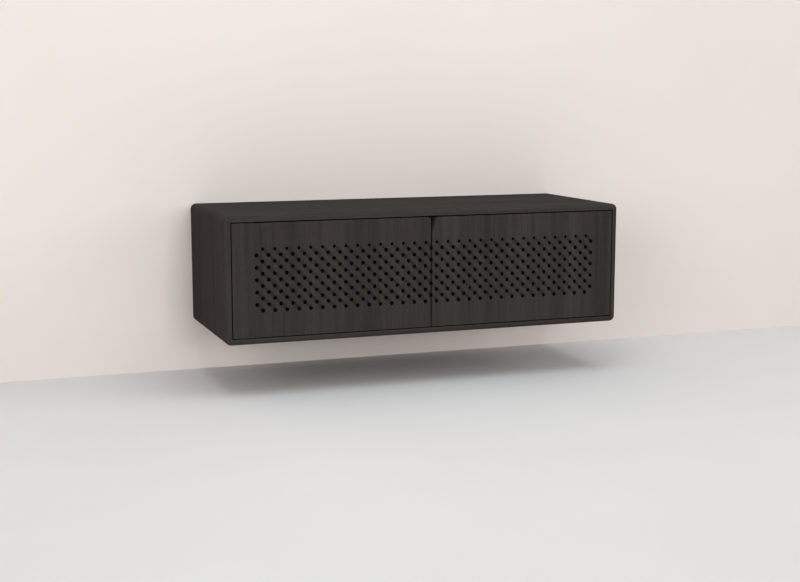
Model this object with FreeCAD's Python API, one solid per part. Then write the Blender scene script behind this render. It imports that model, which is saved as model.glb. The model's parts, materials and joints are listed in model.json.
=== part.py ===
"""Wall-hung media console: a mitred carcass with rounded corners and two perforated pivot doors.

Millimetres. X runs to the right along the wall, Y runs into the wall, Z is up.
The origin is on the wall plane, at the middle of the wall cleat's line of screw holes.
"""
import FreeCAD, Part
import math
import os

from FreeCAD import Vector

# Outside of the carcass
width = 1200.0
depth = 450.0
height = 356.0
board = 17.0
corner_radius = 16.0
front_edge_radius = 12.5
wall_screw_line_below_top = 119.0

# Doors and the gaps round them
door_thickness = 17.0
side_gap = 2.5
top_gap = 3.0
bottom_gap = 2.4
middle_gap = 3.6
door_edge_easing = 0.8
opening_edge_easing = 0.8

# Perforated field: round holes right through the doors, joined on the front by V grooves
pitch = 17.06
half_columns = 30
half_rows = 5
hole_radius = 5.5
top_row_hole_radius = 4.4
groove_half_width = 6.8
groove_depth = 4.2
field_above_middle = 0.5

# Finger notch through the right door's top inner corner, and a shallow scoop in the left door's.
# Both are measured from the middle of the gap and the doors' top edge, on the front face.
notch_width = 28.0
notch_height = 63.0
notch_left_at_back = 0.5
scoop_width = 21.0
scoop_height = 8.0
scoop_depth = 8.0
scoop_left_at_end = 0.1
corner_cut_waist = 0.38
corner_cut_clear = 8.0
corner_cut_spare = 1.0

# Pivot hinges
pivot_from_door_edge = 18.0
pivot_behind_front = 7.5
leaf_width = 10.0
leaf_reach = 45.0
leaf_tail = 8.0
leaf_thickness = 2.5
washer_thickness = 1.0
washer_radius = 4.6
pin_radius = 3.0
pin_running_clearance = 0.05
pin_into_door = 5.0
pin_tip_easing = 1.0
pin_room_in_door = 0.6
hinge_play = 0.1
leaf_screw_places = (14.0, 36.0)

# Inside
divider_setback = 2.0
back_panel_thickness = 6.0
back_panel_shortfall = 0.5
wall_cavity = 22.0
back_groove_depth = 8.0
back_groove_slack = 0.1
shelf_setback = 25.0
shelf_rear_gap = 42.0
shelf_side_clearance = 0.5
rail_height = 70.0
cable_hole_radius = 32.0
cable_hole_x = 290.0
cable_hole_above_floor = 75.0
liner_clearance = 0.2
liner_bore_radius = 29.5
liner_flange_radius = 36.5
liner_flange_thickness = 2.0
liner_behind_panel = 1.5
divider_cable_hole_radius = 30.0
divider_cable_hole_from_back = 75.0

# Wall hanging
cleat_half_length = 540.0
cleat_thickness = 18.0
wall_cleat_below_screws = 30.0
wall_cleat_above_screws = 38.0
cabinet_cleat_height = 58.0
stud_spacing = 406.4
wall_hole_radius = 3.25
lower_hole_radius = 2.75
spacer_height = 40.0

# Splines and dowels
spline_thickness = 3.0
spline_width = 12.0
spline_from_inner_corner = 9.0
spline_from_front = 25.0
spline_from_wall = 45.0
dowel_radius = 4.0
hole_slack = 0.05
divider_dowels_from_front = (50.0, 210.0, 370.0)
divider_dowel_in_panel = 11.0
divider_dowel_in_divider = 17.0
rail_dowel_from_edge = 18.0
rail_dowel_in_panel = 7.5
rail_dowel_in_rail = 18.0

# Screws: head radius, shank radius, length
hinge_screw = (2.8, 1.5, 12.0)
door_leaf_screw = (2.8, 1.5, 18.0)
cleat_screw = (4.2, 2.2, 36.0)
spacer_screw = (3.6, 1.9, 22.0)
catch_screw = (2.8, 1.5, 12.0)
screw_rim = 0.3
cleat_screw_xs = (90.0, 270.0, 450.0)
cleat_screw_z = 75.0
spacer_screw_xs = (90.0, 480.0)

# Shelf pins and their rows of holes
pin_hole_radius = 2.5
pin_hole_depth = 7.5
pin_hole_pitch = 32.0
pin_holes_each_way = 2
pin_row_inset = 50.0
pin_below_shelf = 4.0
pin_peg_length = 7.0
pin_peg_clearance = 0.03
pin_plate_thickness = 1.6
pin_plate_half_width = 5.0
pin_ledge_reach = 10.0

# Magnet catches under the top, strike plates on the doors, bumpers on the divider
catch_x = 60.0
catch_drop = 9.0
catch_behind_door = 1.7
catch_half_width = 14.0
catch_height = 15.0
catch_length = 16.0
catch_ear_reach = 25.0
catch_ear_thickness = 2.5
catch_ear_inset = 2.0
catch_screw_offset = 19.0
magnet_half_width = 10.0
magnet_half_height = 4.0
magnet_length = 5.0
magnet_proud = 0.3
magnet_clearance = 0.05
strike_thickness = 1.2
strike_half_width = 13.0
strike_half_height = 5.0
bumper_radius = 2.6
bumper_x = 5.2
bumper_gap = 0.1
bumper_places = (-120.0, 100.0)

# Planes that follow from these
half_width = width / 2
z_top = wall_screw_line_below_top
z_bottom = z_top - height
z_middle = (z_top + z_bottom) / 2
z_ceiling = z_top - board
z_floor = z_bottom + board
inner_x = half_width - board
y_front = -depth
y_door_back = y_front + door_thickness
y_divider_front = y_door_back + divider_setback
y_back_rear = -wall_cavity
y_back_front = y_back_rear - back_panel_thickness
door_inner_x = middle_gap / 2
door_outer_x = inner_x - side_gap
door_top = z_ceiling - top_gap
door_bottom = z_floor + bottom_gap
pivot_x = door_outer_x - pivot_from_door_edge
pivot_y = y_front + pivot_behind_front
shelf_bottom = z_middle - board / 2
shelf_front_y = y_door_back + shelf_setback
shelf_back_y = y_back_front - shelf_rear_gap
cable_hole_z = z_floor + cable_hole_above_floor
lower_hole_z = z_floor + spacer_height / 2
pin_rows = (shelf_front_y + pin_row_inset, shelf_back_y - pin_row_inset)
pin_line_z = shelf_bottom - pin_below_shelf
catch_face_y = y_door_back + catch_behind_door
strike_z = z_ceiling - catch_drop


# ---------------------------------------------------------------- helpers

def box(x0, x1, y0, y1, z0, z1):
    """A block between two corners."""
    low = Vector(min(x0, x1), min(y0, y1), min(z0, z1))
    return Part.makeBox(abs(x1 - x0), abs(y1 - y0), abs(z1 - z0), low)


def rod(centre, direction, radius, length):
    """A round rod that starts at centre."""
    return Part.makeCylinder(radius, length, Vector(*centre), Vector(*direction))


def prism(outline, y0, y1):
    """An outline of (x, z) points, carried along Y."""
    corners = [Vector(x, y0, z) for x, z in outline]
    face = Part.Face(Part.makePolygon(corners + corners[:1]))
    return face.extrude(Vector(0, y1 - y0, 0))


def mirrored(shape):
    """The same piece on the left-hand side."""
    return shape.mirror(Vector(0, 0, 0), Vector(1, 0, 0))


def both_sides(shapes):
    """Right-hand solids and their left-hand twins."""
    return shapes + [mirrored(s) for s in shapes]


def eased(solid, radius, chosen):
    """Rounds the edges that the test picks out."""
    return solid.makeFillet(radius, [e for e in solid.Edges if chosen(e)])


def lies_on(edge, axis, value):
    """True where the whole edge is in one plane across an axis."""
    return all(abs(getattr(v.Point, axis) - value) < 0.01 for v in edge.Vertexes)


def runs_along(edge, axis):
    """True for a straight edge along an axis."""
    ends = [v.Point for v in edge.Vertexes]
    return len(ends) == 2 and abs((ends[1] - ends[0]).normalize().dot(axis)) > 0.999


def save(name, shape):
    """Writes one node's STEP file and reports on it."""
    solids = shape.Solids
    tidy = Part.makeCompound(solids) if len(solids) > 1 else solids[0]
    tidy.exportStep(os.path.join("parts", name + ".step"))
    print(f"{name:26s} solids {len(solids):2d}  faces {len(tidy.Faces):5d}  valid {tidy.isValid()}")


def turned(profile, tip_way, head_centre):
    """A profile of (radius, height) points turned round its axis, then set down pointing tip_way."""
    corners = [Vector(radius, 0, z) for radius, z in profile]
    face = Part.Face(Part.makePolygon(corners + corners[:1]))
    solid = face.revolve(Vector(0, 0, 0), Vector(0, 0, 1), 360)
    solid.Placement = FreeCAD.Placement(
        Vector(*head_centre), FreeCAD.Rotation(Vector(0, 0, -1), Vector(*tip_way)))
    return solid


def screws(places):
    """Flat wood screws with a square drive. A place is its way in, its head's middle and its size."""
    made = []
    for tip_way, head_centre, (head, shank, length) in places:
        rise = head - shank
        point = 2.0 * shank
        tip = 0.1 * shank
        body = turned([(0, 0), (head, 0), (head, -screw_rim), (shank, -screw_rim - rise),
                       (shank, point - length), (tip, -length), (0, -length)], tip_way, head_centre)
        socket = head / 4
        drive = box(-socket, socket, -socket, socket, -0.8 * rise, 1)
        drive.Placement = body.Placement
        made.append(body.cut(drive))
    return made


def screw_holes(places):
    """The countersunk holes that such screws sit in, with a little slack."""
    above, below = 2.0, 1.0
    holes = []
    for tip_way, head_centre, (head, shank, length) in places:
        wide, narrow = head + hole_slack, shank + hole_slack
        seat = screw_rim + wide - narrow
        holes.append(turned([(0, above), (wide, above), (wide, -screw_rim), (narrow, -seat),
                             (narrow, -length - below), (0, -length - below)], tip_way, head_centre))
    return holes


# ---------------------------------------------------------------- carcass

def spline_bars():
    """Four plywood splines, set square across the mitres."""
    offset = spline_from_inner_corner / math.sqrt(2)
    bars = []
    for sx in (-1, 1):
        for sz, z_corner in ((1, z_ceiling), (-1, z_floor)):
            bar = box(-spline_width / 2, spline_width / 2, y_front + spline_from_front,
                      -spline_from_wall, -spline_thickness / 2, spline_thickness / 2)
            bar.rotate(Vector(0, 0, 0), Vector(0, 1, 0), 45 * sx * sz)
            bar.translate(Vector(sx * (inner_x + offset), 0, z_corner + sz * offset))
            bars.append(bar)
    return bars


def divider_dowels(slack=0.0, spare=0.0):
    """Three dowels at each end of the divider, or the holes for them with slack and spare depth."""
    dowels = []
    for back in divider_dowels_from_front:
        for z_end, way in ((z_ceiling, 1), (z_floor, -1)):
            start = (0, y_front + back, z_end - way * (divider_dowel_in_divider + spare))
            length = divider_dowel_in_panel + divider_dowel_in_divider + 2 * spare
            dowels.append(rod(start, (0, 0, way), dowel_radius + slack, length))
    return dowels


def rail_dowels(slack=0.0, spare=0.0):
    """Two dowels at each end of each hanging rail, or the holes for them."""
    y = y_back_front - board / 2
    dowels = []
    for z in (z_ceiling - rail_dowel_from_edge, z_ceiling - rail_height + rail_dowel_from_edge):
        for x_end, way in ((inner_x, 1), (board / 2, -1)):
            start = x_end - way * (rail_dowel_in_rail + spare)
            length = rail_dowel_in_panel + rail_dowel_in_rail + spare
            dowels.append(rod((start, y, z), (way, 0, 0), dowel_radius + slack, length))
    return both_sides(dowels)


def dowel_holes():
    """All dowel holes, a little wider and deeper than the dowels."""
    spare = 0.5
    return divider_dowels(hole_slack, spare) + rail_dowels(hole_slack, spare)


def pin_holes():
    """Rows of shelf-pin holes for the right-hand compartment, in the side and in the divider."""
    holes = []
    for y in pin_rows:
        for step in range(-pin_holes_each_way, pin_holes_each_way + 1):
            z = pin_line_z + step * pin_hole_pitch
            holes.append(rod((inner_x - 1, y, z), (1, 0, 0), pin_hole_radius, pin_hole_depth + 1))
            start = board / 2 - pin_hole_depth
            holes.append(rod((start, y, z), (1, 0, 0), pin_hole_radius, pin_hole_depth + 1))
    return both_sides(holes)


def back_groove():
    """The groove that holds the back panel on all four sides."""
    reach = back_groove_depth
    return box(-inner_x - reach, inner_x + reach, y_back_front - back_groove_slack,
               y_back_rear + back_groove_slack, z_floor - reach, z_ceiling + reach)


def carcass_ring():
    """Top, bottom and sides as one ring, rounded outside, with the opening's front edge eased."""
    outer = box(-half_width, half_width, y_front, 0, z_bottom, z_top)
    outer = eased(outer, corner_radius, lambda e: runs_along(e, Vector(0, 1, 0)))
    outer = eased(outer, front_edge_radius, lambda e: lies_on(e, "y", y_front))
    ring = outer.cut(box(-inner_x, inner_x, y_front - 1, 1, z_floor, z_ceiling))
    inside = lambda p: abs(p.x) < inner_x + 0.01 and z_floor - 0.01 < p.z < z_ceiling + 0.01
    return eased(ring, opening_edge_easing,
                 lambda e: lies_on(e, "y", y_front) and all(inside(v.Point) for v in e.Vertexes))


def frame_leaf_mortises():
    """Right-hand recesses for the hinge leaves in the floor and ceiling, with their screw holes."""
    cuts = []
    for plane, way, _ in hinge_sides():
        cuts.append(leaf_plan(plane.frame_leaf_back, plane.frame_leaf_front))
        cuts += screw_holes(frame_leaf_screw_places(plane, way))
    return both_sides(cuts)


def carcass_cuts(name):
    """What is cut from one board of the ring, besides its mitres."""
    cuts = [back_groove()] + spline_bars() + dowel_holes()
    if "side" in name:
        return cuts + pin_holes()
    cuts += frame_leaf_mortises()
    if name == "top_panel":
        cuts += screw_holes(catch_screw_places())
    return cuts


def carcass_panels():
    """The four outer boards by name."""
    ring = carcass_ring()
    far, near = 10.0, 2 * board
    right, left = half_width, -half_width
    outlines = {
        "top_panel": [(left - far, z_top + far), (right + far, z_top + far),
                      (right - near, z_top - near), (left + near, z_top - near)],
        "bottom_panel": [(left - far, z_bottom - far), (right + far, z_bottom - far),
                         (right - near, z_bottom + near), (left + near, z_bottom + near)],
        "right_side_panel": [(right + far, z_bottom - far), (right + far, z_top + far),
                             (right - near, z_top - near), (right - near, z_bottom + near)],
        "left_side_panel": [(left - far, z_bottom - far), (left - far, z_top + far),
                            (left + near, z_top - near), (left + near, z_bottom + near)],
    }
    panels = {}
    for name, outline in outlines.items():
        panel = ring.common(prism(outline, y_front - 1, 1))
        panels[name] = panel.cut(carcass_cuts(name))
    return panels


def centre_divider():
    """The upright between the two compartments, with a round cable pass near the back."""
    post = box(-board / 2, board / 2, y_divider_front, y_back_front, z_floor, z_ceiling)
    hole_y = y_back_front - divider_cable_hole_from_back
    hole = rod((-board, hole_y, cable_hole_z), (1, 0, 0), divider_cable_hole_radius, 2 * board)
    post = eased(post.cut(hole), opening_edge_easing, lambda e: len(e.Vertexes) == 1
                 and (lies_on(e, "x", board / 2) or lies_on(e, "x", -board / 2)))
    return post.cut(dowel_holes() + pin_holes())


def back_panel():
    """The thin back, captured in the grooves, with a cable outlet to each compartment."""
    reach = back_groove_depth - back_panel_shortfall
    panel = box(-inner_x - reach, inner_x + reach, y_back_front, y_back_rear,
                z_floor - reach, z_ceiling + reach)
    cuts = []
    for side in (-1, 1):
        centre = (side * cable_hole_x, y_back_front - 1, cable_hole_z)
        cuts.append(rod(centre, (0, 1, 0), cable_hole_radius, back_panel_thickness + 2))
    cuts += lower_wall_holes() + screw_holes(cleat_screw_places() + spacer_screw_places())
    return panel.cut(cuts)


def cable_grommet():
    """Right-hand lined cable outlet: a tube through the back panel with a flange inside."""
    flange_y = y_back_front - liner_flange_thickness
    length = liner_flange_thickness + back_panel_thickness + liner_behind_panel
    at = lambda y: (cable_hole_x, y, cable_hole_z)
    flange = rod(at(flange_y), (0, 1, 0), liner_flange_radius, liner_flange_thickness)
    flange = eased(flange, 0.6 * liner_flange_thickness, lambda e: lies_on(e, "y", flange_y))
    tube = rod(at(flange_y), (0, 1, 0), cable_hole_radius - liner_clearance, length)
    bore = rod(at(flange_y), (0, 1, 0), liner_bore_radius, length)
    return flange.fuse(tube).cut(bore).removeSplitter()


def shelf():
    """Right-hand shelf, loose on its pins."""
    slack = shelf_side_clearance
    plank = box(board / 2 + slack, inner_x - slack, shelf_front_y, shelf_back_y,
                shelf_bottom, shelf_bottom + board)
    return eased(plank, opening_edge_easing, lambda e: lies_on(e, "y", shelf_front_y)
                 and runs_along(e, Vector(1, 0, 0)))


def shelf_pins():
    """Right-hand shelf pins: a peg in the hole and a bracket that the shelf lies on."""
    plate, half = pin_plate_thickness, pin_plate_half_width
    pins = []
    for y in pin_rows:
        for x_face, way in ((inner_x, -1), (board / 2, 1)):
            peg = rod((x_face - way * pin_peg_length, y, pin_line_z), (way, 0, 0),
                      pin_hole_radius - pin_peg_clearance, pin_peg_length + plate / 2)
            web = box(x_face, x_face + way * plate, y - half, y + half,
                      pin_line_z - half, shelf_bottom)
            ledge = box(x_face, x_face + way * pin_ledge_reach, y - half, y + half,
                        shelf_bottom - plate, shelf_bottom)
            pins.append(peg.fuse([web, ledge]).removeSplitter())
    return pins


# ---------------------------------------------------------------- wall hanging

def hanging_rail():
    """Right-hand rail under the top, in front of the back panel."""
    rail = box(board / 2, inner_x, y_back_front - board, y_back_front,
               z_ceiling - rail_height, z_ceiling)
    return rail.cut(dowel_holes() + screw_holes(cleat_screw_places()))


def cleat_screw_places():
    """Six long screws from inside, through rail and back panel, into the cabinet cleat."""
    return [((0, 1, 0), (side * x, y_back_front - board, cleat_screw_z), cleat_screw)
            for x in cleat_screw_xs for side in (-1, 1)]


def cabinet_cleat():
    """The bevelled bar on the console's back, which hooks over the wall cleat."""
    high = wall_cleat_above_screws
    front, rear = y_back_rear, y_back_rear + cleat_thickness
    bevel = lambda y: high - (y + cleat_thickness)
    top = bevel(front) + cabinet_cleat_height
    bar = side_prism([(front, bevel(front)), (front, top), (rear, top), (rear, bevel(rear))])
    return bar.cut(screw_holes(cleat_screw_places()))


def wall_cleat():
    """The bevelled bar that is screwed to the wall."""
    low, high = -wall_cleat_below_screws, wall_cleat_above_screws
    front, rear = -cleat_thickness, 0.0
    bar = side_prism([(front, low), (front, high), (rear, high - cleat_thickness), (rear, low)])
    cuts = []
    for x in (-stud_spacing, -stud_spacing / 2, stud_spacing / 2, stud_spacing):
        cuts.append(rod((x, front - 1, 0), (0, 1, 0), wall_hole_radius, cleat_thickness + 2))
        cuts.append(Part.makeCone(2 * wall_hole_radius, wall_hole_radius, wall_hole_radius,
                                  Vector(x, front, 0), Vector(0, 1, 0)))
    return bar.cut(cuts)


def side_prism(outline):
    """An outline of (y, z) points, carried along the cleats' length."""
    corners = [Vector(-cleat_half_length, y, z) for y, z in outline]
    face = Part.Face(Part.makePolygon(corners + corners[:1]))
    return face.extrude(Vector(2 * cleat_half_length, 0, 0))


def lower_wall_holes():
    """Two holes for securing screws, through the back panel and the spacer."""
    holes = []
    for x in (-stud_spacing / 2, stud_spacing / 2):
        start = (x, y_back_front - 1, lower_hole_z)
        holes.append(rod(start, (0, 1, 0), lower_hole_radius, wall_cavity + back_panel_thickness + 2))
    return holes


def spacer_screw_places():
    """Four short screws from inside, through the back panel, into the spacer."""
    return [((0, 1, 0), (side * x, y_back_front, lower_hole_z), spacer_screw)
            for x in spacer_screw_xs for side in (-1, 1)]


def lower_wall_spacer():
    """The strip that keeps the bottom of the console off the wall by the cavity's depth."""
    strip = box(-cleat_half_length, cleat_half_length, y_back_rear, 0,
                z_floor, z_floor + spacer_height)
    return strip.cut(lower_wall_holes() + screw_holes(spacer_screw_places()))


# ---------------------------------------------------------------- hinges

class HingePlanes:
    """The heights of one hinge's layers, from the carcass face to the door."""

    def __init__(self, carcass_face, way, gap):
        proud = (gap - washer_thickness - hinge_play) / 2
        self.frame_leaf_front = carcass_face - way * proud
        self.frame_leaf_back = self.frame_leaf_front + way * leaf_thickness
        self.washer_end = self.frame_leaf_front - way * washer_thickness
        self.door_leaf_front = self.washer_end - way * hinge_play
        self.door_leaf_back = self.door_leaf_front - way * leaf_thickness
        self.pin_end = self.door_leaf_back - way * pin_into_door


def hinge_sides():
    """The top and bottom hinge: layer heights, the way from door to carcass, and the name."""
    return [
        (HingePlanes(z_ceiling, 1, top_gap), 1, "top"),
        (HingePlanes(z_floor, -1, bottom_gap), -1, "bottom"),
    ]


def leaf_plan(z0, z1):
    """A right-hand leaf's outline, rounded at both ends, between two heights."""
    half = leaf_width / 2
    x_tail = pivot_x + leaf_tail - half
    x_far = pivot_x - leaf_reach + half
    low, tall = min(z0, z1), abs(z1 - z0)
    bar = box(x_far, x_tail, pivot_y - half, pivot_y + half, low, low + tall)
    for x in (x_far, x_tail):
        bar = bar.fuse(rod((x, pivot_y, low), (0, 0, 1), half, tall))
    return bar.removeSplitter()


def frame_leaf_screw_places(plane, way):
    """Screws through a carcass leaf, into the floor or ceiling board."""
    return [((0, 0, way), (pivot_x - d, pivot_y, plane.frame_leaf_front), hinge_screw)
            for d in leaf_screw_places]


def door_leaf_screw_places(plane, way):
    """Screws through a door leaf, into the door's edge."""
    return [((0, 0, -way), (pivot_x - d, pivot_y, plane.door_leaf_front), door_leaf_screw)
            for d in leaf_screw_places]


def frame_leaf(plane, way):
    """The leaf let into the carcass, which carries the pin."""
    leaf = leaf_plan(plane.frame_leaf_back, plane.frame_leaf_front)
    leaf = leaf.cut(pin_space(plane, way, pin_radius))
    return leaf.cut(screw_holes(frame_leaf_screw_places(plane, way)))


def door_leaf(plane, way):
    """The leaf let into the door's edge, which turns on the pin."""
    leaf = leaf_plan(plane.door_leaf_back, plane.door_leaf_front)
    leaf = leaf.cut(pin_space(plane, way, pin_radius + pin_running_clearance))
    return leaf.cut(screw_holes(door_leaf_screw_places(plane, way)))


def pin_space(plane, way, radius):
    """A bore on the pivot axis, right through a hinge's layers."""
    start = (pivot_x, pivot_y, plane.frame_leaf_back + way)
    return rod(start, (0, 0, -way), radius, abs(plane.pin_end - plane.frame_leaf_back) + 3)


def hinge_pin(plane, way):
    """The pin, fast in the carcass leaf, with a rounded end in the door."""
    length = abs(plane.pin_end - plane.frame_leaf_back)
    start = (pivot_x, pivot_y, plane.frame_leaf_back)
    pin = rod(start, (0, 0, -way), pin_radius, length)
    return eased(pin, pin_tip_easing, lambda e: lies_on(e, "z", plane.pin_end))


def hinge_washer(plane, way):
    """The bearing washer between the leaves."""
    start = (pivot_x, pivot_y, plane.frame_leaf_front)
    ring = rod(start, (0, 0, -way), washer_radius, washer_thickness)
    return ring.cut(rod(start, (0, 0, -way), pin_radius + pin_running_clearance, washer_thickness))


# ---------------------------------------------------------------- doors

def on_lattice(row, column):
    """Holes are on every second point, in staggered rows."""
    return abs(row) <= half_rows and abs(column) <= half_columns and (row + column) % 2 == 0


def lattice_point(row, column):
    """A hole's middle on the front face."""
    return Vector(column * pitch, y_front, z_middle + field_above_middle + row * pitch)


def field_holes():
    """The round holes of both doors, right through. Those of the top row are smaller, and sit down
    along their grooves to where the others reach."""
    down_groove = Vector(1, 0, -1).normalize()
    holes = []
    for row in range(-half_rows, half_rows + 1):
        radius = top_row_hole_radius if row == half_rows else hole_radius
        for column in range(-half_columns, half_columns + 1):
            if on_lattice(row, column):
                middle = lattice_point(row, column) + down_groove * (hole_radius - radius)
                holes.append(rod(middle, (0, 1, 0), radius, door_thickness + 1))
    return holes


def v_groove(start, end):
    """A V groove in the front face, from hole to hole, with a cone at each end."""
    clear = 1.0
    wide = groove_half_width * (1 + clear / groove_depth)
    ahead = (end - start).normalize()
    across = ahead.cross(Vector(0, 1, 0)) * wide
    out = Vector(0, -clear, 0)
    apex = start + Vector(0, groove_depth, 0)
    rim = [apex, start + out + across, start + out - across, apex]
    trough = Part.Face(Part.makePolygon(rim)).extrude(end - start)
    cones = [Part.makeCone(wide, 0, groove_depth + clear, point + out, Vector(0, 1, 0))
             for point in (start, end)]
    return trough.fuse(cones)


def field_grooves():
    """A groove along each diagonal that falls to the right. They run on across the gap."""
    grooves = []
    reach = half_columns + half_rows
    for diagonal in range(-reach, reach + 1):
        rows = [row for row in range(-half_rows, half_rows + 1) if on_lattice(row, diagonal - row)]
        if rows:
            first, last = rows[0], rows[-1]
            grooves.append(v_groove(lattice_point(first, diagonal - first),
                                    lattice_point(last, diagonal - last)))
    return grooves


def corner_cutter(wide, tall, depth, share_left):
    """Takes off the right-hand door's top inner corner, narrowing with depth to a share of its size."""
    outlines = []
    for down in (-corner_cut_spare, depth):
        share = 1 - (1 - share_left) * down / depth
        outlines.append(corner_outline(y_front + down, share * wide, share * tall))
    return Part.makeLoft(outlines, True, True)


def corner_outline(y, wide, tall):
    """What is cut off at one depth: the corner outside a curve that hugs the door's two edges."""
    top_end = Vector(wide, y, door_top)
    waist = Vector(wide * corner_cut_waist, y, door_top - tall * corner_cut_waist)
    low_end = Vector(0, y, door_top - tall)
    curve = Part.BSplineCurve()
    curve.interpolate([top_end, waist, low_end],
                      InitialTangent=Vector(-1, 0, 0), FinalTangent=Vector(0, 0, -1))
    past = corner_cut_clear
    outside = [low_end, Vector(-past, y, door_top - tall), Vector(-past, y, door_top + past),
               Vector(wide, y, door_top + past), top_end]
    return Part.Wire([curve.toShape()] + Part.makePolygon(outside).Edges)


def finger_notch():
    """The right-hand door's notch, right through."""
    return corner_cutter(notch_width, notch_height, door_thickness + corner_cut_spare, notch_left_at_back)


def finger_scoop():
    """The shallow scoop, as it would be in the right-hand door."""
    return corner_cutter(scoop_width, scoop_height, scoop_depth, scoop_left_at_end)


def door_blank():
    """The right-hand door before milling, with its front edges eased."""
    blank = box(door_inner_x, door_outer_x, y_front, y_door_back, door_bottom, door_top)
    return eased(blank, door_edge_easing, lambda e: lies_on(e, "y", y_front))


def hinge_cuts():
    """Right-hand mortises, pin holes and screw holes in a door's top and bottom edges."""
    cuts = []
    for plane, way, _ in hinge_sides():
        cuts.append(leaf_plan(plane.door_leaf_front + way * 2, plane.door_leaf_back))
        start = (pivot_x, pivot_y, plane.door_leaf_front)
        depth = abs(plane.pin_end - plane.door_leaf_front) + pin_room_in_door
        cuts.append(rod(start, (0, 0, -way), pin_radius + pin_room_in_door, depth))
        cuts += screw_holes(door_leaf_screw_places(plane, way))
    return cuts


def milled_doors():
    """Both doors by name."""
    plain = door_blank().cut(hinge_cuts() + screw_holes(strike_screw_places()))
    right = plain.cut(finger_notch())
    left = mirrored(plain.cut(finger_scoop()))
    field = field_holes() + field_grooves()
    doors = {}
    for name, blank in (("right_door", right), ("left_door", left)):
        reach = blank.BoundBox
        doors[name] = blank.cut([tool for tool in field if tool.BoundBox.intersect(reach)])
    return doors


# ---------------------------------------------------------------- catches and bumpers

def catch_screw_places():
    """Two screws for each catch, up into the top board."""
    y = catch_face_y + catch_length / 2
    return [((0, 0, 1), (side * catch_x + offset, y, z_ceiling - catch_ear_thickness), catch_screw)
            for side in (-1, 1) for offset in (-catch_screw_offset, catch_screw_offset)]


def magnet_catch():
    """Right-hand catch housing: a block with two screw ears and a pocket for the magnet."""
    z_low = z_ceiling - catch_height
    block = box(catch_x - catch_half_width, catch_x + catch_half_width,
                catch_face_y, catch_face_y + catch_length, z_low, z_ceiling)
    block = eased(block, 1.2, lambda e: lies_on(e, "z", z_low))
    ears = box(catch_x - catch_ear_reach, catch_x + catch_ear_reach, catch_face_y + catch_ear_inset,
               catch_face_y + catch_length - catch_ear_inset, z_ceiling - catch_ear_thickness, z_ceiling)
    ears = eased(ears, 3.0, lambda e: runs_along(e, Vector(0, 0, 1)))
    housing = block.fuse(ears).removeSplitter()
    return housing.cut([magnet_block(magnet_clearance)] + screw_holes(catch_screw_places()))


def magnet_block(slack=0.0):
    """Right-hand magnet, standing a little proud of the catch's front, or its pocket with slack."""
    wide, tall = magnet_half_width + slack, magnet_half_height + slack
    return box(catch_x - wide, catch_x + wide, catch_face_y - magnet_proud - slack,
               catch_face_y + magnet_length + slack, strike_z - tall, strike_z + tall)


def strike_screw_places():
    """One screw in each strike plate, into the back of the door."""
    return [((0, -1, 0), (catch_x, y_door_back + strike_thickness, strike_z), catch_screw)]


def strike_plate():
    """Right-hand steel plate on the door's back, which the magnet holds."""
    plate = box(catch_x - strike_half_width, catch_x + strike_half_width,
                y_door_back, y_door_back + strike_thickness,
                strike_z - strike_half_height, strike_z + strike_half_height)
    plate = eased(plate, strike_half_height / 2, lambda e: runs_along(e, Vector(0, 1, 0)))
    return plate.cut(screw_holes(strike_screw_places()))


def door_bumpers():
    """Soft dots on the divider's front edge, two to each door."""
    thick = divider_setback - bumper_gap
    dots = []
    for place in bumper_places:
        dot = rod((bumper_x, y_divider_front, z_middle + place), (0, -1, 0), bumper_radius, thick)
        dots.append(eased(dot, thick / 4, lambda e: lies_on(e, "y", y_divider_front - thick)))
    return both_sides(dots)


# ---------------------------------------------------------------- the whole console

def save_pair(name, shapes):
    """Saves right-hand solids, and their mirror images under the left-hand name."""
    group = shapes if isinstance(shapes, list) else [shapes]
    save("right_" + name, Part.makeCompound(group))
    save("left_" + name, Part.makeCompound([mirrored(s) for s in group]))


def save_hinges():
    """Leaves, pins, washers and screws of the four pivot hinges."""
    pins, washers, frame_screws, door_screws = [], [], [], []
    for plane, way, name in hinge_sides():
        save_pair(name + "_frame_leaf", frame_leaf(plane, way))
        save_pair(name + "_door_leaf", door_leaf(plane, way))
        pins.append(hinge_pin(plane, way))
        washers.append(hinge_washer(plane, way))
        frame_screws += screws(frame_leaf_screw_places(plane, way))
        door_screws += screws(door_leaf_screw_places(plane, way))
    save_pair("hinge_pins", pins)
    save("hinge_washers", Part.makeCompound(both_sides(washers)))
    save("frame_leaf_screws", Part.makeCompound(both_sides(frame_screws)))
    save_pair("door_leaf_screws", door_screws)


def main():
    os.makedirs("parts", exist_ok=True)
    for name, panel in carcass_panels().items():
        save(name, panel)
    for name, door in milled_doors().items():
        save(name, door)
    save("mitre_splines", Part.makeCompound(spline_bars()))
    save("centre_divider", centre_divider())
    save("divider_dowels", Part.makeCompound(divider_dowels()))
    save("back_panel", back_panel())
    save_pair("cable_grommet", cable_grommet())
    save_pair("shelf", shelf())
    save_pair("shelf_pins", shelf_pins())
    save_pair("hanging_rail", hanging_rail())
    save("rail_dowels", Part.makeCompound(rail_dowels()))
    save("cabinet_cleat", cabinet_cleat())
    save("wall_cleat", wall_cleat())
    save("cleat_screws", Part.makeCompound(screws(cleat_screw_places())))
    save("lower_wall_spacer", lower_wall_spacer())
    save("spacer_screws", Part.makeCompound(screws(spacer_screw_places())))
    save_hinges()
    save_pair("magnet_catch", magnet_catch())
    save_pair("catch_magnet", magnet_block())
    save("catch_screws", Part.makeCompound(screws(catch_screw_places())))
    save_pair("strike_plate", strike_plate())
    save_pair("strike_screw", screws(strike_screw_places()))
    save("door_bumpers", Part.makeCompound(door_bumpers()))


main()
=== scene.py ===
"""Dresses the wall-hung media console: stained veneer, raw plywood, fittings, a plain wall and floor."""
import json
import math

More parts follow.
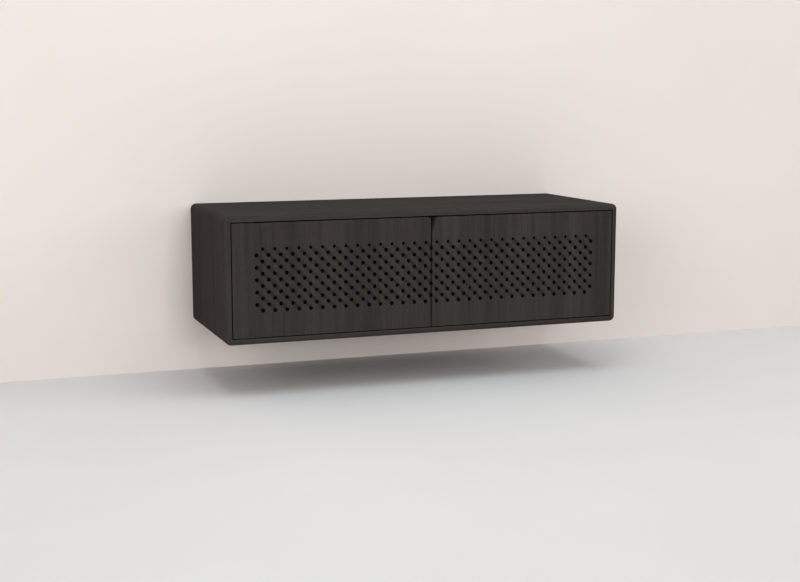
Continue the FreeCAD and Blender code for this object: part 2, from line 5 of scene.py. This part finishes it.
import bmesh
import bpy
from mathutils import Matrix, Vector


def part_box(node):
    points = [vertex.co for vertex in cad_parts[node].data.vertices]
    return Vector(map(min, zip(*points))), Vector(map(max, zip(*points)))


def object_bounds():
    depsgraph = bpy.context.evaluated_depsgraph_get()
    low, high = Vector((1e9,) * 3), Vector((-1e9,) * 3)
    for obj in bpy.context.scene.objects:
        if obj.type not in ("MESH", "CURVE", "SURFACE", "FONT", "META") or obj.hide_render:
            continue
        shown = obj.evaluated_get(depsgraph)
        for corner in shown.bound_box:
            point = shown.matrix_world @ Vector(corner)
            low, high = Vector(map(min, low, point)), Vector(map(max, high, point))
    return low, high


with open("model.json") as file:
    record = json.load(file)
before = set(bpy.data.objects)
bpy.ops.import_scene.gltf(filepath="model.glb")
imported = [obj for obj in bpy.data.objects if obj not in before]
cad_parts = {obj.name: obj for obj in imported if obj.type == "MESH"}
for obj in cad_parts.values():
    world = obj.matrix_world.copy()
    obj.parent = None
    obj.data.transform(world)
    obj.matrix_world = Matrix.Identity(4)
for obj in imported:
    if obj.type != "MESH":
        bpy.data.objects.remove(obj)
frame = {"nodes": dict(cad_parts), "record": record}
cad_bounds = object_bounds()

# Lengths are in metres, and MM turns millimetres into them. The origin is on the wall, behind the
# console and a little above its middle.
MM = 0.001
ORIGIN = (0.0, 0.0, 0.0)

# ---------------------------------------------------------------- camera

CAMERA_PLACE = (-1.3928, -3.9796, 0.4527)
CAMERA_DEGREES = (81.502, 0.0, -20.178)
SENSOR_WIDTH_MM = 36.0
LENS_MM = 60.19


def place_camera():
    """Looks slightly down at the console, from in front of it and to its left."""
    data = bpy.data.cameras.new("camera")
    data.sensor_width = SENSOR_WIDTH_MM
    data.lens = LENS_MM
    camera = bpy.data.objects.new("camera", data)
    camera.location = CAMERA_PLACE
    camera.rotation_euler = [math.radians(angle) for angle in CAMERA_DEGREES]
    bpy.context.scene.collection.objects.link(camera)
    bpy.context.scene.camera = camera


# ---------------------------------------------------------------- shader maths

class Value:
    """A socket that takes part in sums: each operator adds one Math node."""

    def __init__(self, finish, socket):
        self.finish = finish
        self.socket = socket

    def math(self, operation, *others):
        """Adds a Math node that takes this value first, then the others."""
        node = self.finish.add("ShaderNodeMath", {"operation": operation},
                               dict(enumerate((self,) + others)))
        return Value(self.finish, node.outputs[0])

    def __add__(self, other):
        return self.math("ADD", other)

    def __sub__(self, other):
        return self.math("SUBTRACT", other)

    def __rsub__(self, other):
        return self.math("MULTIPLY_ADD", -1.0, other)

    def __mul__(self, other):
        return self.math("MULTIPLY", other)

    def __abs__(self):
        return self.math("ABSOLUTE")

    __radd__ = __add__
    __rmul__ = __mul__

    def below(self, limit, soft):
        """1 where the value is under a limit, falling to 0 over a soft step centred on it."""
        return self.finish.span(self, limit - soft / 2, limit + soft / 2, 1.0, 0.0)

    def above(self, limit, soft):
        """1 where the value is over a limit, falling to 0 over a soft step centred on it."""
        return self.finish.span(self, limit - soft / 2, limit + soft / 2)

    def off_whole(self):
        """How far the value is from the nearest whole number."""
        return self - self.math("ROUND")


class Finish:
    """A material or world, and the nodes in it."""

    def __init__(self, block):
        block.use_nodes = True
        self.block = block
        self.tree = block.node_tree
        self.tree.nodes.clear()
        self.place = None

    def add(self, kind, settings=None, inputs=None):
        """Adds a node: its settings first, then the values or links of its sockets."""
        node = self.tree.nodes.new(kind)
        for key, value in (settings or {}).items():
            setattr(node, key, value)
        for key, value in (inputs or {}).items():
            if isinstance(value, Value):
                self.tree.links.new(value.socket, node.inputs[key])
            else:
                node.inputs[key].default_value = value
        return node

    def out(self, node, name):
        return Value(self, node.outputs[name])

    def object_place(self):
        """Object coordinates, in metres in the console's own frame."""
        if not self.place:
            self.place = self.out(self.add("ShaderNodeTexCoord"), "Object")
        return self.place

    def axes(self, vector=None):
        """The three parts of a vector, or of the place on the object."""
        split = self.add("ShaderNodeSeparateXYZ", {}, {"Vector": vector or self.object_place()})
        return [self.out(split, axis) for axis in "XYZ"]

    def noise(self, scales, detail=2.0, roughness=0.5, distortion=0.0):
        """Noise on object coordinates that are stretched first."""
        stretched = self.add("ShaderNodeMapping", {}, {"Vector": self.object_place(), "Scale": scales})
        return self.out(self.add("ShaderNodeTexNoise", {}, {
            "Vector": self.out(stretched, "Vector"), "Scale": 1.0, "Detail": detail,
            "Roughness": roughness, "Distortion": distortion}), "Fac")

    def even_noise(self, scale, detail=2.0, roughness=0.5):
        """Noise with no grain."""
        return self.noise((scale, scale, scale), detail, roughness)

    def span(self, value, low, high, to_low=0.0, to_high=1.0):
        """Maps a range of a value on to another, held at both ends."""
        return self.out(self.add("ShaderNodeMapRange", {"clamp": True}, {
            "Value": value, "From Min": low, "From Max": high, "To Min": to_low, "To Max": to_high}),
            "Result")

    def blend(self, factor, first, second):
        """Colours mixed by a factor. Sockets 6 and 7, and output 2, are the Mix node's colours."""
        node = self.add("ShaderNodeMix", {"data_type": "RGBA"}, {"Factor": factor, 6: first, 7: second})
        return Value(self, node.outputs[2])

    def bump(self, height, distance, strength):
        """The normal of a relief whose height of 1 stands a distance proud of the surface."""
        return self.out(self.add("ShaderNodeBump", {}, {
            "Height": height, "Distance": distance, "Strength": strength}), "Normal")

    def principled(self, inputs):
        return self.out(self.add("ShaderNodeBsdfPrincipled", {}, inputs), "BSDF")

    def mixed(self, factor, first, second):
        """Two shaders mixed by a factor."""
        return self.out(self.add("ShaderNodeMixShader", {}, {0: factor, 1: first, 2: second}), "Shader")

    def end(self, shader):
        """Ends the block in one shader."""
        is_world = isinstance(self.block, bpy.types.World)
        kind = "ShaderNodeOutputWorld" if is_world else "ShaderNodeOutputMaterial"
        self.add(kind, {}, {"Surface": shader})
        return self.block


def new_finish(name):
    return Finish(bpy.data.materials.new(name))


def colour(red, green, blue):
    """A colour written as display levels from 0 to 255, in the shader's own linear units."""
    levels = [level / 255 for level in (red, green, blue)]
    linear = [level / 12.92 if level < 0.04045 else ((level + 0.055) / 1.055) ** 2.4 for level in levels]
    return (*linear, 1.0)


# ---------------------------------------------------------------- places on the console

# The drilled field of the doors: a square lattice that ends half a step past its outer holes.
LATTICE_STEP = 17.06 * MM
FIELD_HALF_WIDTH = 30.5 * LATTICE_STEP
FIELD_HALF_HEIGHT = 5.5 * LATTICE_STEP
FIELD_ABOVE_MIDDLE = 0.5 * MM
HOLE_RADIUS = 5.5 * MM
BORE_MARGIN = 0.06 * MM

# Depths behind the doors' front face.
STAIN_AND_SHADE_FROM = 0.6 * MM
RIM_SHOWN = 3.0 * MM
GROOVE_FLOOR = 4.2 * MM
BORE_DARK = 9.0 * MM
HOLE_DEEP = 10.0 * MM

# The box that holds the finger notch and the scoop, from the doors' top and the middle.
NOTCH_REACH = 30.0 * MM
NOTCH_DEPTH = 65.0 * MM

# How far a finish runs past a line, and over what width it fades.
EASED = 0.8 * MM
TINY = 0.3 * MM
PAST_BACK_FACE = 0.6 * MM

# From a shelf's end to the side that it lies beside.
SHELF_SIDE_CLEARANCE = 0.5 * MM

# A face square to an axis has a normal whose largest part is 1, and on a rounded edge it is less.
ARRIS_NORMAL = 0.82
ARRIS_FADE = 0.2

case_low, case_high = cad_bounds
door_low, door_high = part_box("left_door")
divider_low, divider_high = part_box("centre_divider")
shelf_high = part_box("right_shelf")[1]
back_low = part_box("back_panel")[0]
inside_half_width = shelf_high.x + SHELF_SIDE_CLEARANCE
field_middle_z = (case_low.z + case_high.z) / 2 + FIELD_ABOVE_MIDDLE


def in_bore(coat):
    """1 deep on the walls of the doors' drilled holes, and 0 at their front rims. The holes are on every
    second point of the lattice, and the top row's smaller ones lie inside the same circles."""
    x, y, z = coat.axes()
    across = x * (0.5 / LATTICE_STEP)
    up = (z - field_middle_z) * (0.5 / LATTICE_STEP)
    rising = (across + up).off_whole()
    falling = (across - up).off_whole()
    from_axis = (rising * rising + falling * falling).math("SQRT") * (math.sqrt(2) * LATTICE_STEP)
    on_rows = abs(z - field_middle_z).below(FIELD_HALF_HEIGHT, TINY)
    on_columns = abs(x).below(FIELD_HALF_WIDTH, TINY)
    deep = coat.span(y, door_low.y + RIM_SHOWN, door_low.y + BORE_DARK)
    return from_axis.below(HOLE_RADIUS + BORE_MARGIN, BORE_MARGIN / 2) * on_rows * on_columns * deep


def in_case(coat, front):
    """1 on the faces of the two compartments, behind a front limit."""
    x, y, z = coat.axes()
    beside = abs(x).below(inside_half_width + EASED / 2, EASED)
    between = z.above(divider_low.z - EASED / 2, EASED) * z.below(divider_high.z + EASED / 2, EASED)
    return beside * between * y.above(front, EASED) * y.below(back_low.y + PAST_BACK_FACE, TINY)


def on_door_edge(coat):
    """1 on the doors' long narrow faces and their hinged ones, and 0 where their front edges round off."""
    x, y, z = coat.axes()
    half_height = (door_high.z - door_low.z) / 2
    long_ways = abs(z - (door_low.z + half_height)).above(half_height - EASED / 2, EASED)
    hinged = abs(x).above(-door_low.x - EASED / 2, EASED)
    return long_ways.math("MAXIMUM", hinged) * y.above(door_low.y + EASED / 4, EASED / 2)


def near_notch(coat):
    """1 where the finger notch and scoop are, on either side of the gap between the doors."""
    x, _, z = coat.axes()
    return abs(x).below(NOTCH_REACH, TINY) * z.above(door_high.z - NOTCH_DEPTH, TINY)


def on_arris(coat):
    """1 on rounded edges, where the face looks along none of the axes."""
    geometry = coat.add("ShaderNodeNewGeometry")
    x, y, z = [abs(part) for part in coat.axes(coat.out(geometry, "Normal"))]
    return x.math("MAXIMUM", y).math("MAXIMUM", z).below(ARRIS_NORMAL, ARRIS_FADE)


# ---------------------------------------------------------------- wood

ALONG_X, ALONG_Z = 0, 2
STAIN_LIGHT = colour(63, 58, 54)
STAIN_DARK = colour(45, 41, 39)
PORE_STAIN_AND_SHADE = colour(20, 17, 16)
# Painted shade: near black on the compartments' insides and the doors' edges, and black on the walls of
# the holes.
SHADE_BLACK = colour(13, 12, 12)
HOLE_SHADE_BLACK = colour(3, 3, 3)

# Shares from 0 to 1: how far each finish covers what is under it, and how much of the darkening in the
# grooves and holes the notch is spared. The groove and hole shares are pooled stain and painted shade. The
# edge, board and inside shares are painted shade.
GROOVE_STAIN_AND_SHADE = 0.2
HOLE_STAIN_AND_SHADE = 0.6
NOTCH_SHADE_SPARED = 0.45
EDGE_SHADE = 0.85
BOARD_SHADE = 0.85
INSIDE_SHADE = 0.9

PLY_PAIR = 1.4 * MM


def along(axis, run, across):
    """Scales for a pattern that is long one way: axis 0 is X, 1 is Y, 2 is Z."""
    scales = [across, across, across]
    scales[axis] = run
    return scales


def pooled_stain_and_shade(coat):
    """How dark the doors' grooves and holes grow with depth: partly stain that pools there, partly painted
    shade. It is lighter near the notch.
    """
    depth = coat.axes()[1] - door_low.y
    grooves = coat.span(depth, STAIN_AND_SHADE_FROM, GROOVE_FLOOR, 0.0, GROOVE_STAIN_AND_SHADE)
    holes = coat.span(depth, GROOVE_FLOOR, HOLE_DEEP, 0.0, HOLE_STAIN_AND_SHADE)
    return (grooves + holes) * (1 - near_notch(coat) * NOTCH_SHADE_SPARED)


def stained_veneer(name, axis, shift=0.0, drilled=False):
    """Charcoal-stained open-pore veneer under matt lacquer, its grain along one axis. A shift makes its
    figure a little finer. Its insides are painted nearly black as painted shade, and so are a drilled
    door's edges. The walls of its holes turn black with depth as painted shade, and its grooves and holes
    darken with depth, partly as pooled stain and partly as painted shade. Rounded edges are lighter,
    partly as wear and partly as a painted highlight."""
    coat = new_finish(name)
    tone = coat.noise(along(axis, 0.7, 7.0 + shift), detail=2.0, roughness=0.5)
    bands = coat.noise(along(axis, 1.3, 48.0 + shift), detail=3.0, roughness=0.55, distortion=0.25)
    streaks = coat.noise(along(axis, 3.5, 190.0 + shift), detail=3.0, roughness=0.6)
    fibres = coat.noise(along(axis, 11.0, 700.0), detail=2.0, roughness=0.6)
    pores = coat.noise(along(axis, 42.0, 1500.0), detail=1.0, roughness=0.5)
    pits = coat.span(pores, 0.62, 0.72)
    shade = tone * 0.25 + bands * 0.35 + streaks * 0.25 + fibres * 0.15
    tint = coat.blend(coat.span(shade, 0.36, 0.64), STAIN_DARK, STAIN_LIGHT)
    # Rounded edges lighter: partly wear, partly a painted edge highlight.
    lighter_edges = on_arris(coat) * coat.span(coat.even_noise(90.0, detail=3.0), 0.42, 0.62)
    tint = coat.blend(lighter_edges * 0.35, tint, STAIN_LIGHT)
    tint = coat.blend(pits * 0.55, tint, PORE_STAIN_AND_SHADE)
    if drilled:
        # Grooves and holes darker with depth: pooled stain and painted shade.
        tint = coat.blend(pooled_stain_and_shade(coat), tint, PORE_STAIN_AND_SHADE)
        # Painted shade: the doors' narrow edges painted nearly black, as in shaded gaps.
        tint = coat.blend(on_door_edge(coat) * EDGE_SHADE, tint, SHADE_BLACK)
    front = door_high.y - EASED if drilled else case_low.y + EASED
    # Painted shade: the compartments' insides painted nearly black.
    tint = coat.blend(in_case(coat, front) * INSIDE_SHADE, tint, SHADE_BLACK)
    handled = coat.even_noise(6.0, detail=4.0, roughness=0.6)
    relief = fibres * 0.35 + streaks * 0.25 - pits * 0.8
    shader = coat.principled({
        "Base Color": tint,
        "Roughness": 0.68 + fibres * 0.12 + handled * 0.12 + pits * 0.2,
        "Specular IOR Level": 0.01,
        "Normal": coat.bump(relief, 0.18 * MM, strength=0.6)})
    if drilled:
        # Painted shade: the walls of the holes turn black with depth.
        paint = coat.principled({"Base Color": HOLE_SHADE_BLACK, "Roughness": 0.9, "Specular IOR Level": 0.0})
        shader = coat.mixed(in_bore(coat), shader, paint)
    return coat.end(shader)


def stained_board(name):
    """Thin fibreboard, stained black: short tangled fibres with no grain."""
    coat = new_finish(name)
    clouds = coat.even_noise(9.0, detail=4.0, roughness=0.6)
    felt = coat.noise((420.0, 420.0, 420.0), detail=4.0, roughness=0.75, distortion=1.6)
    flecks = coat.span(coat.even_noise(1300.0, detail=2.0), 0.6, 0.75)
    shade = coat.span(clouds * 0.5 + felt * 0.5, 0.38, 0.62)
    tint = coat.blend(shade, colour(24, 22, 20), colour(36, 33, 30))
    tint = coat.blend(flecks * 0.4, tint, colour(52, 46, 40))
    # Painted shade: the back board painted nearly black inside the compartments.
    tint = coat.blend(in_case(coat, door_high.y) * BOARD_SHADE, tint, SHADE_BLACK)
    return coat.end(coat.principled({
        "Base Color": tint,
        "Roughness": 0.62 + felt * 0.2,
        "Specular IOR Level": 0.1,
        "Normal": coat.bump(felt + flecks * 0.5, 0.08 * MM, strength=0.5)}))


def plywood(name):
    """Raw birch plywood: pale face grain, and plies of crossed grain one behind another."""
    coat = new_finish(name)
    through = (coat.axes()[1] * (1 / PLY_PAIR)).math("FRACT")
    crossed = coat.span(through, 0.46, 0.54)
    face = coat.noise((2.0, 60.0, 55.0), detail=3.0, roughness=0.6, distortion=0.4)
    specks = coat.noise((60.0, 900.0, 900.0), detail=2.0, roughness=0.6)
    fuzz = coat.even_noise(900.0, detail=1.0)
    tint = coat.blend(coat.span(face, 0.35, 0.7), colour(214, 184, 142), colour(190, 152, 106))
    tint = coat.blend(crossed * 0.45, tint, colour(150, 108, 70))
    tint = coat.blend(coat.span(specks, 0.58, 0.75) * 0.3, tint, colour(128, 90, 56))
    return coat.end(coat.principled({
        "Base Color": tint,
        "Roughness": 0.72 + fuzz * 0.15,
        "Normal": coat.bump(specks * 0.6 + fuzz * 0.4, 0.12 * MM, strength=0.7)}))


def beech(name):
    """Raw beech dowels that lie along X or Z: straight grain with short dark flecks."""
    coat = new_finish(name)
    grain = coat.noise((30.0, 420.0, 30.0), detail=3.0, roughness=0.6)
    flecks = coat.span(coat.noise((160.0, 900.0, 160.0), detail=1.0), 0.6, 0.7)
    tint = coat.blend(coat.span(grain, 0.35, 0.65), colour(198, 158, 118), colour(222, 186, 148))
    tint = coat.blend(flecks * 0.5, tint, colour(150, 104, 68))
    return coat.end(coat.principled({
        "Base Color": tint,
        "Roughness": 0.6 + grain * 0.2,
        "Normal": coat.bump(grain, 0.1 * MM, strength=0.5)}))


# ---------------------------------------------------------------- plastic and metal

# Each moulding's slot, with its pale and deep colours, the scale of its texture and its roughness.
MOULDINGS = {
    "black_plastic": (colour(26, 26, 26), colour(18, 18, 18), 1800.0, 0.55),
    "soft_bumper": (colour(58, 57, 56), colour(44, 43, 42), 900.0, 0.6),
}

# Each metal's slot, with its pale and deep colours, its roughness and the scales of its tool marks.
BRUSHED = (900.0, 60.0, 900.0)
TURNED = (120.0, 120.0, 5000.0)
METALS = {
    "hinge_black": (colour(30, 30, 30), colour(19, 19, 20), 0.55, BRUSHED),
    "black_screw": (colour(44, 44, 46), colour(28, 28, 30), 0.36, BRUSHED),
    "pin_steel": (colour(196, 196, 198), colour(170, 170, 173), 0.22, TURNED),
    "strike_steel": (colour(150, 152, 155), colour(124, 127, 131), 0.34, BRUSHED),
    "magnet_nickel": (colour(160, 157, 151), colour(140, 137, 131), 0.24, BRUSHED),
}
RUBBED_GAIN = 1.8


def moulded(name, pale, deep, grain, roughness):
    """Moulded plastic or silicone with a fine matt texture, a little polished on its edges."""
    coat = new_finish(name)
    texture = coat.even_noise(grain, detail=2.0, roughness=0.55)
    clouds = coat.even_noise(40.0, detail=3.0)
    polish = on_arris(coat)
    tint = coat.blend(coat.span(clouds, 0.35, 0.65), deep, pale)
    tint = coat.blend(polish * 0.4, tint, pale)
    return coat.end(coat.principled({
        "Base Color": tint,
        "Roughness": roughness + texture * 0.15 - polish * 0.12,
        "Specular IOR Level": 0.25,
        "Normal": coat.bump(texture, 0.05 * MM, strength=0.6)}))


def worked_metal(name, pale, deep, roughness, scratches):
    """Plated or blackened steel: a clouded tone, fine tool marks, and edges that have rubbed brighter."""
    coat = new_finish(name)
    bright = [min(1.0, part * RUBBED_GAIN) for part in pale]
    clouds = coat.span(coat.even_noise(160.0, detail=4.0, roughness=0.6), 0.35, 0.65)
    marks = coat.noise(scratches, detail=2.0, roughness=0.7)
    lighter_edges = on_arris(coat) * coat.span(coat.even_noise(700.0, detail=2.0), 0.35, 0.6)
    tint = coat.blend(clouds, deep, pale)
    tint = coat.blend(lighter_edges * 0.6, tint, bright)
    return coat.end(coat.principled({
        "Base Color": tint,
        "Metallic": 1.0,
        "Roughness": roughness + clouds * 0.08 + marks * 0.14 - lighter_edges * 0.08,
        "Normal": coat.bump(marks, 0.03 * MM, strength=0.5)}))


# ---------------------------------------------------------------- stage

WALL_BEHIND = 0.8 * MM
FLOOR_LEVEL = -386.5 * MM
ROOM_REACH = 9.0
OPENING_INSET = 30.0 * MM
WALL_PALE = colour(227, 218, 213)
WALL_DEEP = colour(224, 214, 208)
FLOOR_PALE = colour(218, 215, 213)
FLOOR_DEEP = colour(215, 212, 210)
UNLIT = colour(6, 6, 6)


def stage_sheet(name, faces, materials):
    """A flat stage surface: each face is its four corners and the number of its material."""
    mesh = bpy.data.meshes.new(name)
    shape = bmesh.new()
    for corners, number in faces:
        face = shape.faces.new([shape.verts.new(corner) for corner in corners])
        face.material_index = number
    shape.to_mesh(mesh)
    shape.free()
    for material in materials:
        mesh.materials.append(material)
    sheet = bpy.data.objects.new(name, mesh)
    bpy.context.scene.collection.objects.link(sheet)


def seen_directly(coat):
    """1 for what the eye, a mirror or a glass shows, and 0 for light on its way to a matt surface."""
    path = coat.add("ShaderNodeLightPath")
    mirrored = coat.out(path, "Is Glossy Ray") + coat.out(path, "Is Transmission Ray")
    return coat.out(path, "Is Camera Ray") + mirrored


def one_sided(coat, paint, shown):
    """A stage sheet shows its paint from the side it faces, where shown is 1, and is clear elsewhere."""
    clear = coat.out(coat.add("ShaderNodeBsdfTransparent"), "BSDF")
    facing = 1 - coat.out(coat.add("ShaderNodeNewGeometry"), "Backfacing")
    return coat.end(coat.mixed(facing * shown, clear, paint))


def stage_paint(name, pale, deep, mottle):
    """Matt paint with a faint mottle."""
    coat = new_finish(name)
    clouds = coat.span(coat.even_noise(mottle, detail=3.0), 0.3, 0.7)
    paint = coat.principled({
        "Base Color": coat.blend(clouds, deep, pale),
        "Roughness": 0.85,
        "Specular IOR Level": 0.0,
        "Normal": coat.bump(coat.even_noise(900.0), 0.1 * MM, strength=0.3)})
    return one_sided(coat, paint, 1.0)


def unlit_wall(name):
    """The wall that the console covers: dark to the eye, and clear to the light from behind."""
    coat = new_finish(name)
    paint = coat.principled({"Base Color": UNLIT, "Specular IOR Level": 0.0})
    return one_sided(coat, paint, seen_directly(coat))


def build_stage():
    """The floor, and a wall in nine panes. Its middle pane lets light reach the console's back."""
    xs = (-ROOM_REACH, case_low.x + OPENING_INSET, case_high.x - OPENING_INSET, ROOM_REACH)
    zs = (FLOOR_LEVEL, case_low.z + OPENING_INSET, case_high.z - OPENING_INSET, ROOM_REACH)
    panes = []
    for column in range(3):
        for row in range(3):
            left, right = xs[column:column + 2]
            bottom, top = zs[row:row + 2]
            corners = [(left, WALL_BEHIND, bottom), (right, WALL_BEHIND, bottom),
                       (right, WALL_BEHIND, top), (left, WALL_BEHIND, top)]
            covered = column == row == 1
            panes.append((corners, int(covered)))
    wall_paint = stage_paint("wall_paint", WALL_PALE, WALL_DEEP, mottle=1.1)
    stage_sheet("wall", panes, [wall_paint, unlit_wall("wall_covered")])
    floor = [(-ROOM_REACH, -ROOM_REACH, FLOOR_LEVEL), (ROOM_REACH, -ROOM_REACH, FLOOR_LEVEL),
             (ROOM_REACH, WALL_BEHIND, FLOOR_LEVEL), (-ROOM_REACH, WALL_BEHIND, FLOOR_LEVEL)]
    stage_sheet("floor", [(floor, 0)], [stage_paint("floor_paint", FLOOR_PALE, FLOOR_DEEP, mottle=1.7)])


# ---------------------------------------------------------------- light

WHITE = (1.0, 1.0, 1.0, 1.0)
SKY_STRENGTH = 0.25
SKY_TINT = (1.02, 1.0, 0.97, 1.0)
COOL_LAMP = (0.88, 1.01, 1.09)


def lamp(name, place, aim, size, power, tint=WHITE[:3]):
    """A soft square lamp that faces a point."""
    data = bpy.data.lights.new(name, "AREA")
    data.shape = "SQUARE"
    data.size = size
    data.energy = power
    data.color = tint
    light = bpy.data.objects.new(name, data)
    light.location = place
    light.visible_camera = False
    light.rotation_mode = "QUATERNION"
    light.rotation_quaternion = (Vector(aim) - Vector(place)).to_track_quat("-Z", "Y")
    bpy.context.scene.collection.objects.link(light)


def light_room():
    """A faint even sky that looks white, four broad lamps in the room, and one behind the wall."""
    world = bpy.data.worlds.new("room")
    bpy.context.scene.world = world
    room = Finish(world)
    strength = room.span(seen_directly(room), 0.0, 1.0, SKY_STRENGTH, 1.0)
    tint = room.blend(seen_directly(room), SKY_TINT, WHITE)
    sky = room.add("ShaderNodeBackground", {}, {"Color": tint, "Strength": strength})
    room.end(room.out(sky, "Background"))
    lamp("overhead", (0.0, -1.0, 3.0), (0.0, -0.4, 0.0), size=3.0, power=64.0, tint=COOL_LAMP)
    lamp("front_low", (0.0, -6.0, 0.65), ORIGIN, size=1.1, power=80.0)
    lamp("front_left", (-4.0, -4.0, 1.5), ORIGIN, size=3.0, power=106.0)
    lamp("right", (7.0, -2.3, 2.1), ORIGIN, size=4.2, power=200.0)
    lamp("behind", (1.0, 3.0, 1.2), (0.0, 0.0, -0.05), size=2.0, power=60.0)


# ---------------------------------------------------------------- the whole console

UPRIGHT_SHIFT = 1.5
UPRIGHT_NODES = ("left_side_panel", "right_side_panel", "centre_divider")


def dress():
    """Gives each CAD node the finish of its slot, and the upright boards a veneer of their own."""
    finishes = {
        "dark_veneer": stained_veneer("veneer_lengthways", ALONG_X),
        "dark_veneer_door": stained_veneer("veneer_door", ALONG_Z, UPRIGHT_SHIFT, drilled=True),
        "back_board": stained_board("back_board"),
        "birch_plywood": plywood("birch_plywood"),
        "beech": beech("beech"),
    }
    for slot, look in MOULDINGS.items():
        finishes[slot] = moulded(slot, *look)
    for slot, look in METALS.items():
        finishes[slot] = worked_metal(slot, *look)
    upright = stained_veneer("veneer_upright", ALONG_Z, UPRIGHT_SHIFT)
    for subpart in frame["record"]["subparts"]:
        node = subpart["node"]
        finish = upright if node in UPRIGHT_NODES else finishes[subpart["material_slot"]]
        for material_slot in frame["nodes"][node].material_slots:
            material_slot.material = finish


place_camera()
build_stage()
light_room()
dress()

bpy.context.scene.view_settings.view_transform = "Standard"
